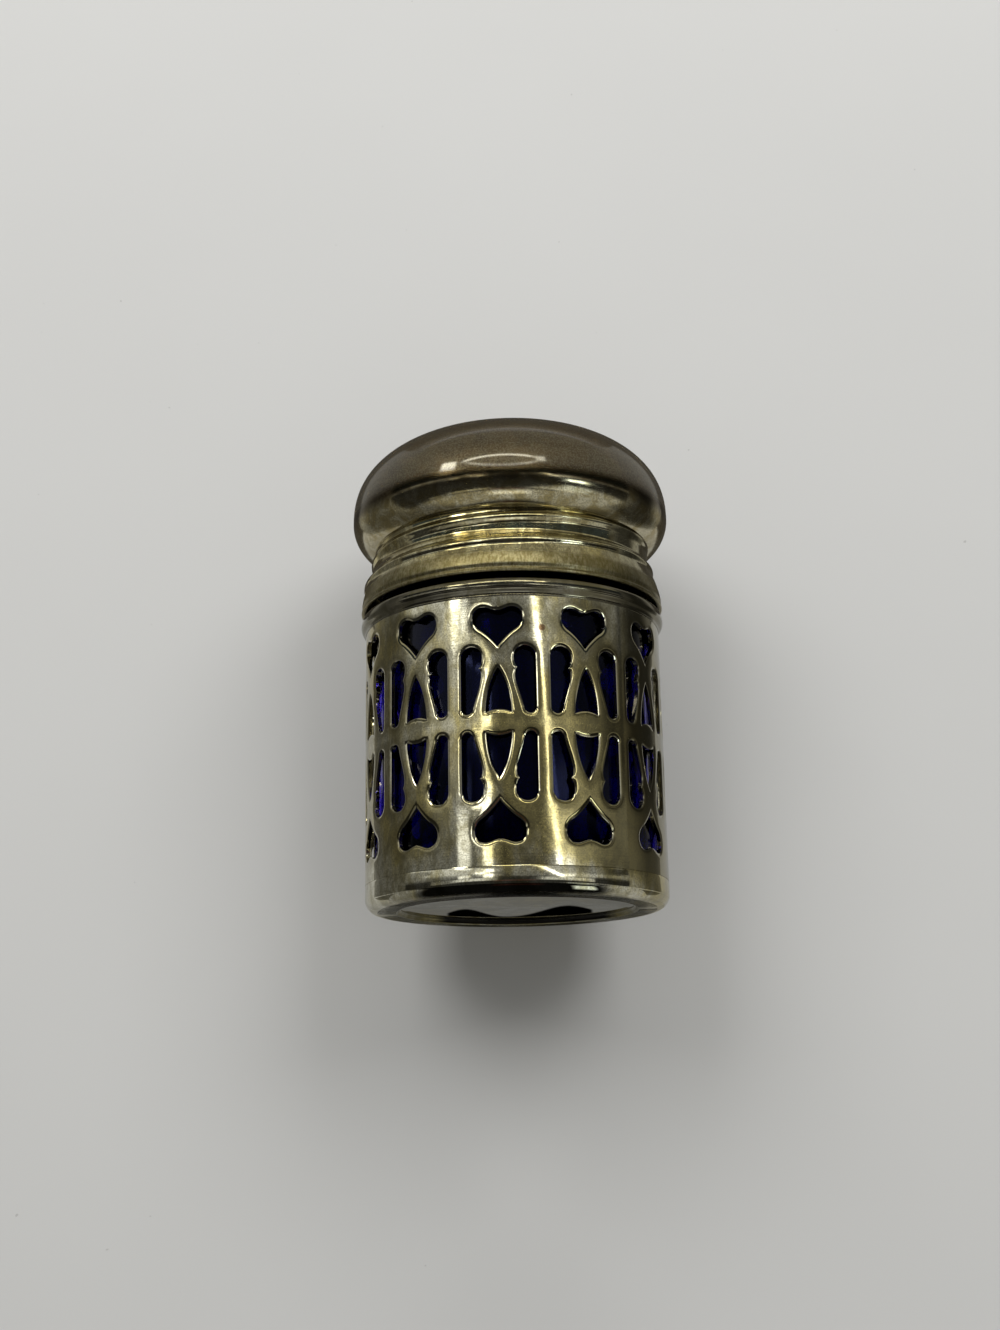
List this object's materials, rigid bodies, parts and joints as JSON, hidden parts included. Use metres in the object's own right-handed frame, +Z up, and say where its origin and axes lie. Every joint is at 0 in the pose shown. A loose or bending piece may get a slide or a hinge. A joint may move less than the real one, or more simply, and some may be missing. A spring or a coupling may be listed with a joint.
{
  "type": "salt shaker",
  "caption": "Small round salt shaker: pierced metal sleeve round a dark blue glass liner, with a domed screw cap.",
  "frame": {"origin": "middle of the plane that the shaker stands on", "axes": "+Z up along the shaker's axis, -Y towards the front, where the axis of one pierced motif lies"},
  "size_m": [0.0348, 0.0348, 0.0528],
  "materials": {
    "sleeve_silver": "polished, lightly tarnished",
    "collar_silver": "tarnished, fine speckle",
    "dome_silver": "polished, tarnished",
    "cobalt_glass": "clear, deep blue",
    "seal_card": "waxed"
  },
  "bodies": {
    "sleeve": {"pressed_base": "sleeve_silver", "pierced_wall": "sleeve_silver", "rim_moulding": "sleeve_silver"},
    "liner": {"glass_liner": "cobalt_glass"},
    "seal": {"seal_ring": "seal_card"},
    "cap": {"threaded_collar": "collar_silver", "perforated_dome": "dome_silver"}
  },
  "joints": [
    {"name": "liner_lift", "type": "slide", "parent": "sleeve", "child": "liner", "axis": [0, 0, 1], "range_m": [0, 0.034]},
    {"name": "cap_lift", "type": "slide", "parent": "liner", "child": "seal", "axis": [0, 0, 1], "range_m": [0, 0.0067]},
    {"name": "cap_turn", "type": "hinge", "parent": "seal", "child": "cap", "pos_m": [0, 0, 0.036], "axis": [0, 0, 1], "range_deg": [0, 915]}
  ],
  "couplings": [
    {"joint": "cap_lift", "follows": "cap_turn", "m_per_rad": 0.0004138}
  ]
}
